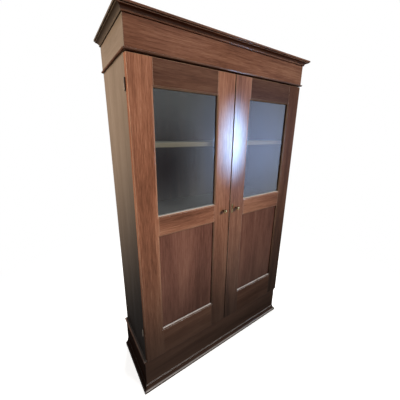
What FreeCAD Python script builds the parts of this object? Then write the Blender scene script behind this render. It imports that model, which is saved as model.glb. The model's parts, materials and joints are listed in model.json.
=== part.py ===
import FreeCAD, Part
import math
import os

from FreeCAD import Vector

# A tall two-door display cupboard in dark varnished hardwood: a plinth, a carcase with loose shelves,
# a pair of overlay doors glazed above and panelled below, and a frieze box with a cornice on top.
# X runs to the right, Y to the back and Z up. The origin is on the floor under the middle of the whole.
# All sizes are in millimetres.

# Carcase
carcase_width = 1180.0
carcase_depth = 370.0
carcase_height = 1609.0
board = 22.0
housing_depth = 8.0
back_board_thickness = 12.0
back_board_count = 5
back_lap = 8.0
fit = 0.1

# Shelves
shelf_names = ("lower_shelf", "middle_shelf", "upper_shelf")
shelf_thickness = 24.0
shelf_pitch = 411.0
shelf_setback = 24.0
shelf_play = 1.0
shelf_round = 3.0
bearer_height = 24.0
bearer_width = 16.0
bearer_front_taper = 20.0

# Plinth
plinth_height = 233.0
plinth_proud = 9.0
corner_block_leg = 55.0
corner_block_lift = 8.0
lip_height = 26.0
lip_reach = 9.0
lip_nose = 8.0
lip_step = 1.5
lip_hollow = 2.2
shoe_height = 44.0
shoe_reach = 19.0
shoe_foot = 13.0
shoe_step = 2.0
shoe_hollow = 5.0
shoe_crown_height = 4.0
shoe_crown_reach = 3.0
shoe_crown_bulge = 1.0

# Frieze box and cornice
frieze_height = 122.0
frieze_proud = 3.0
bead_height = 9.0
bead_reach = 8.0
cornice_height = 28.0
cornice_reach = 30.0
cornice_band = 8.0
cornice_bead_height = 6.0
cornice_bead_flat = 4.0
cornice_bead_bulge = 2.5
cornice_fillet_height = 2.5
cornice_fillet_setback = 5.0
cornice_groove_depth = 2.5
cornice_groove_height = 2.0
cornice_step = 1.0
cornice_hollow = 2.5
dust_board_thickness = 8.0
dust_board_bearing = 10.0
glue_block_leg = 34.0
glue_block_length = 70.0
glue_block_count = 4

# Doors
door_thickness = 26.0
door_clearance = 1.0
door_top_gap = 6.0
door_bottom_gap = 3.0
meeting_gap = 6.0
hinge_stile_width = 111.0
meeting_stile_width = 119.0
top_rail_height = 116.0
middle_rail_height = 115.0
bottom_rail_height = 186.0
panel_opening_height = 592.0
door_edge_bevel = 1.2
ovolo_size = 8.0
ovolo_quirk = 1.0
sight_depth = 12.0
rebate_width = 9.0
glass_thickness = 3.0
glass_play = 1.0
bead_setback = 1.0
bead_bevel = 4.0
panel_thickness = 8.0
panel_play = 0.2
tenon_thickness = 8.0
tenon_shoulder = 15.0
tenon_cheek = 50.0
tenon_to_knob = 10.0

# Hinges
hinge_length = 50.0
hinge_leaf = 1.8
hinge_leaf_width = 18.0
knuckle_radius = 4.0
knuckle_count = 2
knuckle_gap = 0.2
knuckle_to_wood = 0.3
pin_radius = 2.0
pin_clearance = 0.05
pin_overrun = 1.5
upper_hinge_drop = 112.0
lower_hinge_rise = 204.0

# Knobs
knob_height = 1080.0
knob_inset = 50.0
knob_head_radius = 12.5
knob_neck_radius = 5.0
knob_neck_length = 8.5
knob_length = 28.0
knob_rim_height = 19.0
knob_crown_radius = 7.5
knob_shank_radius = 3.0
knob_shank_length = 18.0
shank_clearance = 0.1

# Lock on the right door
keyhole_inset = 18.0
keyhole_radius = 3.0
keyhole_slot_width = 2.6
keyhole_drop = 10.0
escutcheon_height = 60.0
escutcheon_width = 13.0
escutcheon_thickness = 1.4
lock_width = 58.0
lock_height = 48.0
lock_thickness = 13.0
lock_edge_inset = 1.5
lock_plate = 4.0
lock_bolt_height = 12.0
lock_bolt_thickness = 6.0
lock_bolt_length = 42.0
lock_bolt_sink = 0.5
lock_slide_clearance = 0.2

# Slide bolts on the left door
bolt_inset = 62.0
bolt_width = 9.0
bolt_thickness = 6.0
bolt_length = 100.0
bolt_tip_gap = 3.0
bolt_travel = 12.0
bolt_slide_clearance = 0.3
bolt_plate_width = 24.0
bolt_plate_thickness = 2.5
bolt_plate_length = 84.0
bolt_plate_margin = 3.0
bolt_guide_floor = 2.2
bolt_guide_wall = 2.5
bolt_guide_height = 10.0
bolt_thumb_radius = 4.0
bolt_thumb_length = 6.0
keeper_thickness = 1.5
keeper_margin = 7.0
keep_height = 34.0
keep_width = 16.0
keep_inset = 1.0
bolt_hole_margin = 1.0

# Cutting shapes run this far past the faces that they open
spare = 2.0

# Planes worked out from the sizes above
half_width = carcase_width / 2
overall_depth = cornice_reach + door_thickness + door_clearance + carcase_depth
door_front = -overall_depth / 2 + cornice_reach
door_back = door_front + door_thickness
carcase_front = door_back + door_clearance
back = overall_depth / 2
back_board_face = back - back_board_thickness
inside = half_width - board
carcase_base = plinth_height
carcase_top = carcase_base + carcase_height
frieze_top = carcase_top + frieze_height
overall_height = frieze_top + cornice_height
bottom_surface = carcase_base + board
top_underside = carcase_top - board
frieze_half = half_width + frieze_proud
plinth_half = half_width + plinth_proud
plinth_front = carcase_front - plinth_proud

door_bottom = carcase_base + door_bottom_gap
door_top = carcase_top - door_top_gap
door_outer = -half_width
door_inner = -meeting_gap / 2
sight_left = door_outer + hinge_stile_width
sight_right = door_inner - meeting_stile_width
panel_low = door_bottom + bottom_rail_height
panel_high = panel_low + panel_opening_height
glass_low = panel_high + middle_rail_height
glass_high = door_top - top_rail_height

hinge_axis_x = -half_width - knuckle_radius - knuckle_to_wood
hinge_axis_y = carcase_front - door_clearance / 2
hinge_heights = [door_top - upper_hinge_drop, door_bottom + lower_hinge_rise]
knuckle_pitch = hinge_length / knuckle_count

UP = Vector(0, 0, 1)
BACK = Vector(0, 1, 0)
RIGHT = Vector(1, 0, 0)


def block(x0, x1, y0, y1, z0, z1):
    """A square-edged piece between two corners."""
    return Part.makeBox(x1 - x0, y1 - y0, z1 - z0, Vector(x0, y0, z0))


def mirrored(shape):
    """The same piece for the other side of the cabinet."""
    return shape.mirror(Vector(0, 0, 0), RIGHT)


def prism(points, run):
    """A straight-sided piece: a polygon drawn along the run."""
    return Part.Face(Part.makePolygon(points + points[:1])).extrude(run)


def bow(start, end, rise):
    """A step of a profile: an arc from start to end that bulges by rise to the left of its direction."""
    across = (end[0] - start[0], end[1] - start[1])
    chord = math.hypot(across[0], across[1])
    middle_u = (start[0] + end[0]) / 2 - across[1] / chord * rise
    middle_v = (start[1] + end[1]) / 2 + across[0] / chord * rise
    return ((middle_u, middle_v), end)


def quarter_rise(radius):
    """How far a quarter circle bulges from its chord."""
    return radius * (1 - math.sqrt(0.5))


def profile_points(profile):
    """All points of a profile, with those that its arcs pass through."""
    points = []
    for step in profile:
        points += list(step) if isinstance(step[0], tuple) else [step]
    return points


def outline(profile, start, u_axis, v_axis):
    """The face inside a profile whose u and v are set out from start along two directions."""
    def place(point):
        return start + u_axis * point[0] + v_axis * point[1]

    edges = []
    here = place(profile[0])
    for step in profile[1:] + profile[:1]:
        if isinstance(step[0], tuple):
            end = place(step[1])
            edges.append(Part.Arc(here, place(step[0]), end).toShape())
        else:
            end = place(step)
            edges.append(Part.makeLine(here, end))
        here = end
    return Part.Face(Part.Wire(edges))


def stick(profile, start, run, u_axis, v_axis):
    """A straight moulding: a profile drawn along the run."""
    return outline(profile, start, u_axis, v_axis).extrude(run)


def surround(profile, half, front, foot):
    """Three mitred lengths of moulding round the front and sides of a box: front, left and right.

    u runs out from the faces of the box and v runs up from the foot.
    """
    out = max(u for u, v in profile_points(profile)) + spare
    into = max(-min(u for u, v in profile_points(profile)), 0) + spare
    tall = max(v for u, v in profile_points(profile))
    corners = [
        Vector(-half - out, front - out, foot - spare),
        Vector(half + out, front - out, foot - spare),
        Vector(half - into, front + into, foot - spare),
        Vector(-half + into, front + into, foot - spare),
    ]
    wedge = prism(corners, UP * (tall + 2 * spare))
    across = stick(profile, Vector(-half - out, front, foot), RIGHT * (2 * (half + out)), -BACK, UP)
    along = stick(profile, Vector(-half, front - out, foot), BACK * (back - front + out), -RIGHT, UP)
    left = along.cut(wedge)
    return across.common(wedge), left, mirrored(left)


def ring(profile, x0, x1, z0, z1, y):
    """Four mitred lengths round an opening: u runs out from the opening's edge and v runs back from y."""
    out = max(u for u, v in profile_points(profile)) + spare
    into = max(-min(u for u, v in profile_points(profile)), 0)
    depths = [v for u, v in profile_points(profile)]
    face = y + min(depths) - spare
    through = BACK * (max(depths) - min(depths) + 2 * spare)

    def wedge(outer, inner):
        corners = [
            Vector(x0 - out, face, outer),
            Vector(x1 + out, face, outer),
            Vector(x1 - into, face, inner),
            Vector(x0 + into, face, inner),
        ]
        return prism(corners, through)

    low = wedge(z0 - out, z0 + into)
    high = wedge(z1 + out, z1 - into)
    width = RIGHT * (x1 - x0 + 2 * out)
    height = UP * (z1 - z0 + 2 * out)
    bottom = stick(profile, Vector(x0 - out, y, z0), width, -UP, BACK).common(low)
    top = stick(profile, Vector(x0 - out, y, z1), width, UP, BACK).common(high)
    left = stick(profile, Vector(x0, y, z0 - out), height, -RIGHT, BACK).cut([low, high])
    right = stick(profile, Vector(x1, y, z0 - out), height, RIGHT, BACK).cut([low, high])
    return [bottom, top, left, right]


def board_profile(height, thickness):
    """A plain board set behind the face of a box."""
    return [(0, 0), (0, height), (-thickness, height), (-thickness, 0)]


def edges_of(shape, chosen):
    """The straight edges that are chosen by a look at their two ends."""
    edges = []
    for edge in shape.Edges:
        ends = [vertex.Point for vertex in edge.Vertexes]
        if len(ends) == 2 and chosen(ends[0], ends[1]):
            edges.append(edge)
    return edges


def near(value, target):
    """Whether two measures are the same to a hundredth of a millimetre."""
    return abs(value - target) < 0.01


# Plinth

def plinth_boards():
    """Front and side boards mitred at the front corners, with a rail between the sides at the back."""
    front, left, right = surround(board_profile(plinth_height, board), plinth_half, plinth_front, 0)
    inner = plinth_half - board
    rail = block(-inner, inner, back - board, back, 0, plinth_height)
    return {"plinth_front": front, "plinth_left": left, "plinth_right": right, "plinth_back": rail}


def plinth_corner_blocks():
    """Three-cornered blocks glued into the corners of the plinth, up to the underside of the carcase."""
    inner = plinth_half - board
    front = plinth_front + board
    rear = back - board
    blocks = []
    for y, turn in ((front, 1), (rear, -1)):
        corners = [
            Vector(-inner, y, corner_block_lift),
            Vector(-inner + corner_block_leg, y, corner_block_lift),
            Vector(-inner, y + turn * corner_block_leg, corner_block_lift),
        ]
        piece = prism(corners, UP * (plinth_height - corner_block_lift))
        blocks += [piece, mirrored(piece)]
    return {"plinth_corner_blocks": Part.makeCompound(blocks)}


def plinth_lip():
    """A small cove moulding under the carcase, with a rounded nose at its top."""
    edge = lip_reach - lip_step
    cove_start = (lip_step, 0)
    cove_end = (edge, lip_height - lip_nose - lip_step)
    nose_start = (edge, lip_height - lip_nose)
    nose_end = (edge, lip_height)
    profile = [
        (0, 0),
        cove_start,
        bow(cove_start, cove_end, lip_hollow),
        nose_start,
        bow(nose_start, nose_end, -lip_step),
        (0, lip_height),
    ]
    lengths = surround(profile, plinth_half, plinth_front, plinth_height - lip_height)
    return {"plinth_lip": Part.makeCompound(lengths)}


def base_mouldings():
    """The shoe round the foot of the plinth: an upright foot, a step, a hollow and a rounded top."""
    step = (shoe_reach - shoe_step, shoe_foot)
    crown = (shoe_crown_reach, shoe_height - shoe_crown_height)
    hollow_end = (shoe_crown_reach + shoe_crown_bulge, shoe_height - shoe_crown_height)
    profile = [
        (0, 0),
        (shoe_reach, 0),
        (shoe_reach, shoe_foot),
        step,
        bow(step, hollow_end, shoe_hollow),
        crown,
        bow(crown, (0, shoe_height), -shoe_crown_bulge),
    ]
    front, left, right = surround(profile, plinth_half, plinth_front, 0)
    return {"base_moulding_front": front, "base_moulding_left": left, "base_moulding_right": right}


# Carcase

def housing(level):
    """The groove across a side that holds the end of a level board."""
    deep = -inside - housing_depth - fit
    low, high = level - fit, level + board + fit
    return block(deep, -inside + spare, carcase_front - spare, back_board_face, low, high)


def hinge_pocket(height, y0, y1):
    """The shallow recess that takes one leaf of a hinge."""
    end = -half_width + hinge_leaf_width + fit
    half = hinge_length / 2 + fit
    return block(-half_width - spare, end, y0, y1, height - half, height + half)


def carcase_sides():
    """Two plain sides, grooved for the bottom and top and rebated along the back edge."""
    side = block(-half_width, -inside, carcase_front, back, carcase_base, carcase_top)
    rebate = block(
        -inside - board / 2, -inside + spare, back_board_face, back + spare,
        carcase_base - spare, carcase_top + spare
    )
    cuts = [rebate, housing(carcase_base), housing(top_underside)]
    for height in hinge_heights:
        cuts.append(hinge_pocket(height, carcase_front - spare, carcase_front + hinge_leaf + fit))
    side = side.cut(cuts)
    return {"left_side": side, "right_side": mirrored(side)}


def bolt_mortise(low, high):
    """The pocket that a slide bolt of the left door shoots into."""
    x = -meeting_gap / 2 - bolt_inset
    half = bolt_width / 2 + bolt_hole_margin
    y0 = door_back + bolt_plate_thickness + bolt_guide_floor - bolt_hole_margin
    y1 = y0 + bolt_thickness + 2 * bolt_slide_clearance + 2 * bolt_hole_margin
    return block(x - half, x + half, y0, y1, low, high)


def carcase_levels():
    """The bottom and the top board, housed into the sides, each with a pocket for a slide bolt."""
    half = inside + housing_depth
    reach = bolt_travel - bolt_tip_gap + bolt_hole_margin
    bottom = block(-half, half, carcase_front, back_board_face, carcase_base, bottom_surface)
    bottom = bottom.cut(bolt_mortise(bottom_surface - reach, bottom_surface + spare))
    top = block(-half, half, carcase_front, back_board_face, top_underside, carcase_top)
    top = top.cut(bolt_mortise(top_underside - spare, top_underside + reach))
    return {"carcase_bottom": bottom, "carcase_top": top}


def back_boards():
    """Upright boards lapped over each other along their edges, in the rebates of the sides."""
    half = inside + board / 2
    pitch = 2 * half / back_board_count
    lap_depth = back_board_thickness / 2
    boards = []
    for index in range(back_board_count):
        x0 = -half + index * pitch
        x1 = x0 + pitch
        piece = block(x0, x1 - fit, back_board_face, back, carcase_base, carcase_top)
        if index < back_board_count - 1:
            lap_face = back_board_face + lap_depth
            tongue = block(x1 - fit, x1 + back_lap, lap_face, back, carcase_base, carcase_top)
            piece = piece.fuse(tongue).removeSplitter()
        if index > 0:
            notch = block(
                x0 - spare, x0 + back_lap + fit, back_board_face + lap_depth - fit, back + spare,
                carcase_base - spare, carcase_top + spare
            )
            piece = piece.cut(notch)
        boards.append(piece)
    return {"back_boards": Part.makeCompound(boards)}


def shelf_top(index):
    """Height of the top face of a shelf, counted from the lowest."""
    return bottom_surface + shelf_pitch * (index + 1)


def shelves():
    """Loose shelves with a rounded front edge."""
    front = carcase_front + shelf_setback
    half = inside - shelf_play
    pieces = {}

    def along_front(a, b):
        return near(a.y, front) and near(b.y, front) and near(a.z, b.z)

    for index, name in enumerate(shelf_names):
        top = shelf_top(index)
        shelf = block(-half, half, front, back_board_face - shelf_play, top - shelf_thickness, top)
        pieces[name] = shelf.makeFillet(shelf_round, edges_of(shelf, along_front))
    return pieces


def shelf_bearers():
    """Battens on the sides that carry the shelves, sloped away at their front ends."""
    front = carcase_front + shelf_setback
    left = []
    for index in range(len(shelf_names)):
        top = shelf_top(index) - shelf_thickness
        low = top - bearer_height
        corners = [
            Vector(-inside, front, top),
            Vector(-inside, back_board_face, top),
            Vector(-inside, back_board_face, low),
            Vector(-inside, front + bearer_front_taper, low),
        ]
        left.append(prism(corners, RIGHT * bearer_width))
    return {
        "left_shelf_bearers": Part.makeCompound(left),
        "right_shelf_bearers": Part.makeCompound([mirrored(piece) for piece in left]),
    }


# Frieze box and cornice

def frieze_boards():
    """A tall front board mitred to two side boards, with a rail at the back that carries the dust board."""
    front, left, right = surround(board_profile(frieze_height, board), frieze_half, door_front, carcase_top)
    inner = frieze_half - board
    rail = block(-inner, inner, back - board, back, carcase_top, overall_height - dust_board_thickness)
    return {"frieze_front": front, "frieze_left": left, "frieze_right": right, "frieze_back": rail}


def frieze_bead():
    """A half-round bead round the foot of the frieze."""
    flat = bead_reach - bead_height / 2
    low, high = (flat, 0), (flat, bead_height)
    profile = [(0, 0), low, bow(low, high, -bead_height / 2), (0, bead_height)]
    return {"frieze_bead": Part.makeCompound(surround(profile, frieze_half, door_front, carcase_top))}


def cornice():
    """A mitred cornice: a bead at the foot, a hollow, a fillet, a groove and an upright band at the top."""
    band_foot = cornice_height - cornice_band
    fillet_top = band_foot - cornice_groove_height
    fillet_foot = fillet_top - cornice_fillet_height
    fillet_face = cornice_reach - cornice_fillet_setback
    groove_face = fillet_face - cornice_groove_depth
    bead_foot = (cornice_bead_flat, 0)
    bead_top = (cornice_bead_flat, cornice_bead_height)
    hollow_start = (cornice_bead_flat + cornice_step, cornice_bead_height)
    hollow_end = (fillet_face - cornice_step, fillet_foot)
    ledge = cornice_height - dust_board_thickness
    bearing_edge = dust_board_bearing - board
    profile = [
        (-board, 0),
        bead_foot,
        bow(bead_foot, bead_top, -cornice_bead_bulge),
        hollow_start,
        bow(hollow_start, hollow_end, cornice_hollow),
        (fillet_face, fillet_foot),
        (fillet_face, fillet_top),
        (groove_face, fillet_top),
        (groove_face, band_foot),
        (cornice_reach, band_foot),
        (cornice_reach, cornice_height),
        (bearing_edge, cornice_height),
        (bearing_edge, ledge),
        (-board, ledge),
    ]
    front, left, right = surround(profile, frieze_half, door_front, frieze_top)
    return {"cornice_front": front, "cornice_left": left, "cornice_right": right}


def dust_board():
    """The thin board that closes the top, let into the cornice and resting on the back rail."""
    inset = board - dust_board_bearing + fit
    half = frieze_half - inset
    low = overall_height - dust_board_thickness
    return {"dust_board": block(-half, half, door_front + inset, back, low, overall_height)}


def frieze_glue_blocks():
    """Three-cornered blocks that tie the frieze front to the top of the carcase."""
    face = door_front + board
    run = 2 * (frieze_half - board) / glue_block_count
    blocks = []
    for index in range(glue_block_count):
        x = -frieze_half + board + run * (index + 0.5) - glue_block_length / 2
        corners = [
            Vector(x, face, carcase_top),
            Vector(x, face + glue_block_leg, carcase_top),
            Vector(x, face, carcase_top + glue_block_leg),
        ]
        blocks.append(prism(corners, RIGHT * glue_block_length))
    return {"frieze_glue_blocks": Part.makeCompound(blocks)}


# Doors, made for the left side

def ovolo_cut(low, high):
    """The wood planed away round an opening: a quarter round between two small steps, mitred."""
    start = (ovolo_size, ovolo_quirk)
    end = (ovolo_quirk, ovolo_size)
    profile = [
        (-spare, -spare),
        (ovolo_size, -spare),
        start,
        bow(start, end, quarter_rise(ovolo_size - ovolo_quirk)),
        (-spare, ovolo_size),
    ]
    return ring(profile, sight_left, sight_right, low, high, door_front)


def frame_cuts():
    """Everything that is cut from the door's frame round its two openings."""
    glass_rebate = block(
        sight_left - rebate_width, sight_right + rebate_width, door_front + sight_depth, door_back + spare,
        glass_low - rebate_width, glass_high + rebate_width
    )
    panel_groove = block(
        sight_left - rebate_width, sight_right + rebate_width,
        door_front + sight_depth, door_front + sight_depth + panel_thickness + panel_play,
        panel_low - rebate_width, panel_high + rebate_width
    )
    return [glass_rebate, panel_groove] + ovolo_cut(glass_low, glass_high) + ovolo_cut(panel_low, panel_high)


def rails():
    """Height range of each rail."""
    return {
        "top_rail": (glass_high, door_top),
        "middle_rail": (panel_high, glass_low),
        "bottom_rail": (door_bottom, panel_low),
    }


def tenon(low, high, x0, x1, ease):
    """The tongue of a rail between two x positions, or with some ease its mortise."""
    y0 = door_front + (door_thickness - tenon_thickness) / 2
    return block(
        x0, x1, y0 - ease, y0 + tenon_thickness + ease,
        low + tenon_shoulder - ease, high - tenon_shoulder + ease
    )


def tenon_ends():
    """How far the tenons reach into the hinge stile and into the meeting stile."""
    into_hinge_stile = sight_left - (hinge_stile_width - tenon_cheek)
    into_meeting_stile = sight_right + meeting_stile_width - knob_inset - tenon_to_knob
    return into_hinge_stile, into_meeting_stile


def on_front(a, b):
    """Whether an edge lies in the front face of the doors."""
    return near(a.y, door_front) and near(b.y, door_front)


def door_rails(cuts):
    """Three rails with a tenon at each end; the outer rails have an eased front edge."""
    left_end, right_end = tenon_ends()
    pieces = {}
    for name, (low, high) in rails().items():
        rail = block(sight_left, sight_right, door_front, door_back, low, high)
        outer = {"top_rail": door_top, "bottom_rail": door_bottom}.get(name)
        if outer is not None:
            def bevelled(a, b):
                return on_front(a, b) and near(a.z, outer) and near(b.z, outer)

            rail = rail.makeChamfer(door_edge_bevel, edges_of(rail, bevelled))
        rail = rail.cut(cuts)
        tongues = [tenon(low, high, left_end, sight_left, 0), tenon(low, high, sight_right, right_end, 0)]
        pieces[name] = rail.fuse(tongues).removeSplitter()
    return pieces


def stile(x0, x1, outer, cuts):
    """An upright of the door, as tall as the door, with its outer edges eased."""
    def bevelled(a, b):
        upright = near(a.x, outer) and near(b.x, outer) and not near(a.z, b.z)
        front_end = on_front(a, b) and near(a.z, b.z)
        return upright or front_end

    piece = block(x0, x1, door_front, door_back, door_bottom, door_top)
    return piece.makeChamfer(door_edge_bevel, edges_of(piece, bevelled)).cut(cuts)


def door_stiles(cuts):
    """The hinge stile, with mortises and hinge pockets, and the meeting stile, with a knob hole."""
    left_end, right_end = tenon_ends()
    hinge_cuts = list(cuts)
    meeting_cuts = list(cuts)
    for low, high in rails().values():
        hinge_cuts.append(tenon(low, high, left_end - fit, sight_left + spare, fit))
        meeting_cuts.append(tenon(low, high, sight_right - spare, right_end + fit, fit))
    for height in hinge_heights:
        hinge_cuts.append(hinge_pocket(height, door_back - hinge_leaf - fit, door_back + spare))
    knob_hole = Part.makeCylinder(
        knob_shank_radius + shank_clearance, knob_shank_length + spare + fit,
        Vector(door_inner - knob_inset, door_front - spare, knob_height), BACK
    )
    meeting_cuts.append(knob_hole)
    return {
        "hinge_stile": stile(door_outer, sight_left, door_outer, hinge_cuts),
        "meeting_stile": stile(sight_right, door_inner, door_inner, meeting_cuts),
    }


def door_infill():
    """The pane in its rebate, the mitred beads behind it, and the flat panel in its groove."""
    margin = rebate_width - glass_play
    x0, x1 = sight_left - margin, sight_right + margin
    pane_front = door_front + sight_depth
    pane = block(x0, x1, pane_front, pane_front + glass_thickness, glass_low - margin, glass_high + margin)
    panel_front = pane_front + panel_play / 2
    panel = block(x0, x1, panel_front, panel_front + panel_thickness, panel_low - margin, panel_high + margin)
    near_face = sight_depth + glass_thickness
    far_face = door_thickness - bead_setback
    outer = rebate_width - fit
    profile = [
        (0, near_face),
        (outer, near_face),
        (outer, far_face),
        (bead_bevel, far_face),
        (0, far_face - bead_bevel),
    ]
    beads = ring(profile, sight_left, sight_right, glass_low, glass_high, door_front)
    return {"glass": pane, "panel": panel, "glazing_beads": Part.makeCompound(beads)}


def door_knob():
    """A knob turned in flats, on a plain neck, with a shank let into the stile."""
    profile = [
        (0, -knob_shank_length),
        (knob_shank_radius, -knob_shank_length),
        (knob_shank_radius, 0),
        (knob_neck_radius, 0),
        (knob_neck_radius, knob_neck_length),
        (knob_head_radius, knob_rim_height),
        (knob_crown_radius, knob_length),
        (0, knob_length),
    ]
    centre = Vector(door_inner - knob_inset, door_front, knob_height)
    return {"knob": outline(profile, centre, RIGHT, -BACK).revolve(centre, BACK, 360)}


# Hinges, made for the left side

def hinge_leaf_piece(height, y0, y1, first):
    """One leaf of a hinge with every second knuckle, counted from first."""
    low = height - hinge_length / 2
    leaf = block(-half_width, -half_width + hinge_leaf_width, y0, y1, low, low + hinge_length)
    parts = []
    for index in range(first, knuckle_count, 2):
        foot = low + index * knuckle_pitch + knuckle_gap / 2
        tall = knuckle_pitch - knuckle_gap
        parts.append(Part.makeCylinder(knuckle_radius, tall, Vector(hinge_axis_x, hinge_axis_y, foot)))
        parts.append(block(hinge_axis_x, -half_width + knuckle_radius, y0, y1, foot, foot + tall))
    bore_foot = Vector(hinge_axis_x, hinge_axis_y, low - spare)
    bore = Part.makeCylinder(pin_radius + pin_clearance, hinge_length + 2 * spare, bore_foot)
    return leaf.fuse(parts).cut(bore).removeSplitter()


def hinge_pin(height):
    """A plain pin that stands out a little at both ends."""
    foot = Vector(hinge_axis_x, hinge_axis_y, height - hinge_length / 2 - pin_overrun)
    return Part.makeCylinder(pin_radius, hinge_length + 2 * pin_overrun, foot)


def hinges():
    """Lift-off butt hinges with the knuckles outside the cabinet; the pins stay with the carcase."""
    door_side = []
    fixed = []
    pins = []
    for height in hinge_heights:
        door_side.append(hinge_leaf_piece(height, door_back - hinge_leaf, door_back, 1))
        fixed.append(hinge_leaf_piece(height, carcase_front, carcase_front + hinge_leaf, 0))
        pins.append(hinge_pin(height))
    return {
        "left_door_hinges": Part.makeCompound(door_side),
        "right_door_hinges": Part.makeCompound([mirrored(leaf) for leaf in door_side]),
        "carcase_hinges": Part.makeCompound(fixed + [mirrored(leaf) for leaf in fixed]),
        "hinge_pins": Part.makeCompound(pins + [mirrored(pin) for pin in pins]),
    }


# Lock on the right door

def keyhole(y0, y1):
    """A keyhole between two depths: a round hole with a slot under it."""
    x = meeting_gap / 2 + keyhole_inset
    eye = Part.makeCylinder(keyhole_radius, y1 - y0, Vector(x, y0, knob_height), BACK)
    half = keyhole_slot_width / 2
    slot = block(x - half, x + half, y0, y1, knob_height - keyhole_drop, knob_height)
    return eye.fuse(slot)


def escutcheon():
    """A narrow round-ended plate round the keyhole."""
    half = escutcheon_width / 2
    straight = escutcheon_height / 2 - half
    low_left, high_left = (-half, -straight), (-half, straight)
    high_right, low_right = (half, straight), (half, -straight)
    profile = [
        (-half, 0),
        high_left,
        bow(high_left, high_right, half),
        low_right,
        bow(low_right, low_left, half),
    ]
    centre = Vector(meeting_gap / 2 + keyhole_inset, door_front - escutcheon_thickness, knob_height)
    plate = stick(profile, centre, BACK * escutcheon_thickness, RIGHT, UP)
    return {"escutcheon": plate.cut(keyhole(door_front - escutcheon_thickness - spare, door_front + spare))}


def lock():
    """A lock case on the back of the right meeting stile, its bolt, and the keep on the left stile."""
    x0 = meeting_gap / 2 + lock_edge_inset
    z0, z1 = knob_height - lock_height / 2, knob_height + lock_height / 2
    case = block(x0, x0 + lock_width, door_back, door_back + lock_thickness, z0, z1)
    bolt_low = knob_height - lock_bolt_height / 2
    bolt_front = door_back + lock_plate + lock_slide_clearance
    bolt_end = x0 + lock_bolt_sink + lock_bolt_length
    channel = block(
        x0 - spare, bolt_end + lock_slide_clearance,
        bolt_front - lock_slide_clearance, bolt_front + lock_bolt_thickness + lock_slide_clearance,
        bolt_low - lock_slide_clearance, bolt_low + lock_bolt_height + lock_slide_clearance
    )
    case = case.cut([channel, keyhole(door_back - spare, door_back + lock_plate + spare)])
    bolt = block(
        x0 + lock_bolt_sink, bolt_end, bolt_front, bolt_front + lock_bolt_thickness,
        bolt_low, bolt_low + lock_bolt_height
    )
    keep_edge = -meeting_gap / 2 - keep_inset
    keep = block(
        keep_edge - keep_width, keep_edge, door_back, door_back + lock_plate,
        knob_height - keep_height / 2, knob_height + keep_height / 2
    )
    return {"lock_case": case, "lock_bolt": bolt, "lock_keep": keep}


# Slide bolts on the left door

def slide_bolt():
    """The upper slide bolt drawn back: a bar with a thumb knob, a plate with two guides, and a keeper."""
    x = door_inner - bolt_inset
    tip = top_underside - bolt_tip_gap
    bed = door_back + bolt_plate_thickness + bolt_guide_floor
    y0 = bed + bolt_slide_clearance
    y1 = y0 + bolt_thickness
    half = bolt_width / 2
    bar = block(x - half, x + half, y0, y1, tip - bolt_length, tip)
    thumb_height = tip - bolt_plate_margin - bolt_plate_length / 2
    thumb = Part.makeCylinder(bolt_thumb_radius, bolt_thumb_length, Vector(x, y1, thumb_height), BACK)
    bar = bar.fuse(thumb)

    plate_top = tip - bolt_plate_margin
    plate_low = plate_top - bolt_plate_length
    plate_half = bolt_plate_width / 2
    plate = block(
        x - plate_half, x + plate_half, door_back, door_back + bolt_plate_thickness, plate_low, plate_top
    )
    inner = half + bolt_slide_clearance
    outer = inner + bolt_guide_wall
    roof = y1 + bolt_slide_clearance
    guides = []
    for foot in (plate_low, plate_top - bolt_guide_height):
        guides.append(
            block(x - outer, x + outer, door_back, roof + bolt_guide_wall, foot, foot + bolt_guide_height)
        )
    channel = block(x - inner, x + inner, bed, roof, plate_low - spare, plate_top + spare)
    plate = plate.fuse(guides).cut(channel).removeSplitter()

    keeper_half = half + keeper_margin
    keeper = block(
        x - keeper_half, x + keeper_half, carcase_front + fit, y1 + keeper_margin,
        top_underside - keeper_thickness, top_underside
    )
    keeper = keeper.cut(bolt_mortise(top_underside - spare - keeper_thickness, top_underside + spare))
    return bar, plate, keeper


def slide_bolts():
    """The upper and lower slide bolts, alike about the middle of the opening."""
    middle = Vector(0, 0, (top_underside + bottom_surface) / 2)
    bar, plate, keeper = slide_bolt()
    return {
        "upper_bolt": bar,
        "lower_bolt": bar.mirror(middle, UP),
        "bolt_plates": Part.makeCompound([plate, plate.mirror(middle, UP)]),
        "bolt_keepers": Part.makeCompound([keeper, keeper.mirror(middle, UP)]),
    }


def doors():
    """Both doors, alike but for the keyhole through the right meeting stile."""
    cuts = frame_cuts()
    pieces = {}
    for group in (door_stiles(cuts), door_rails(cuts), door_infill(), door_knob()):
        for name, shape in group.items():
            pieces["left_" + name] = shape
            pieces["right_" + name] = mirrored(shape)
    key_way = keyhole(door_front - spare, door_back + spare)
    pieces["right_meeting_stile"] = pieces["right_meeting_stile"].cut(key_way)
    return pieces


nodes = {}
for group in (
    plinth_boards(), plinth_corner_blocks(), plinth_lip(), base_mouldings(),
    carcase_sides(), carcase_levels(), back_boards(), shelves(), shelf_bearers(),
    frieze_boards(), frieze_bead(), cornice(), dust_board(), frieze_glue_blocks(),
    doors(), hinges(), escutcheon(), lock(), slide_bolts(),
):
    nodes.update(group)

os.makedirs("parts", exist_ok=True)
for name, shape in nodes.items():
    shape.exportStep("parts/" + name + ".step")
    print(name, len(shape.Solids), "solid", round(shape.Volume / 1000, 2), "cm3", shape.isValid())
print(len(nodes), "pieces,", round(overall_height), "tall")
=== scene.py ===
# %% [markdown]
# # A display cupboard in old varnished mahogany
# The cupboard stands on a plinth. Two doors lie over the front of the case, glazed above and panelled
# below, and a plain frieze with a cornice closes the top. The solids come from the CAD model as fixed nodes.
# This lesson gives each board its grain and varnish and each fitting its metal. It adds what is too small
# for the solids, which is screws, pins and smooth turned knobs, and sets up the light and the camera.

# %% Load the cupboard
import json
import math

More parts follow.
